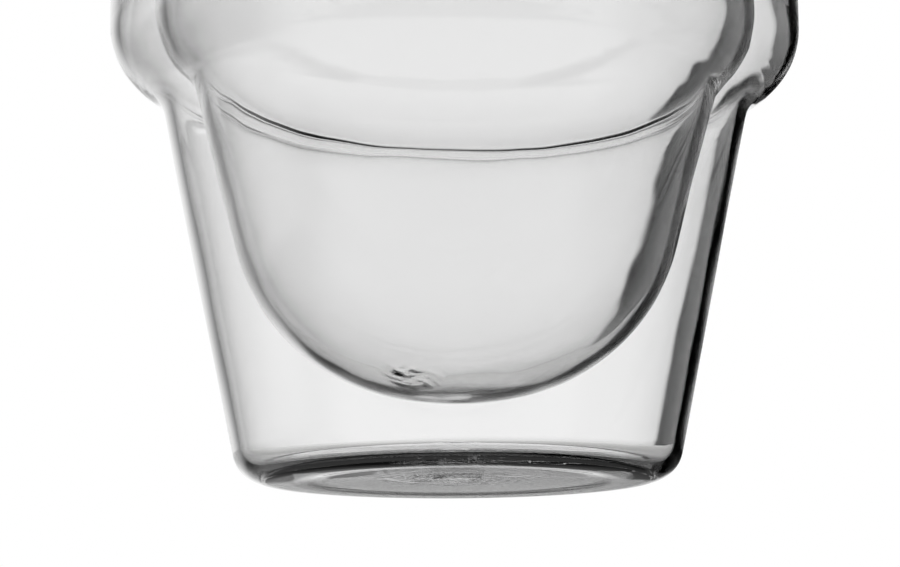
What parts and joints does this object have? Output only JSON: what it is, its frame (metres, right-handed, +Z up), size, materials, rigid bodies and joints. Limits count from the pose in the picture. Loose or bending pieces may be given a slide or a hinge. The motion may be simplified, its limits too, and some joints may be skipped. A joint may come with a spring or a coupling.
{
  "type": "double walled glass cup",
  "caption": "Clear glass cup with an outer wall and an inner bowl fused at the rim, air sealed between them, a tapered body and a wider rounded collar.",
  "frame": {"origin": "centre of the resting face, on the cup's centre line", "axes": "+Z up along the cup's centre line, towards the mouth; +X to the right and +Y away in the picture's view"},
  "size_m": [0.0876, 0.0876, 0.082],
  "materials": {
    "clear_glass": "clear flame-worked borosilicate glass, smooth"
  },
  "bodies": {
    "root": {"outer_shell": "clear_glass", "inner_bowl": "clear_glass", "rim_seam": "clear_glass", "base_disc": "clear_glass", "vent_seal": "clear_glass"}
  },
  "joints": []
}
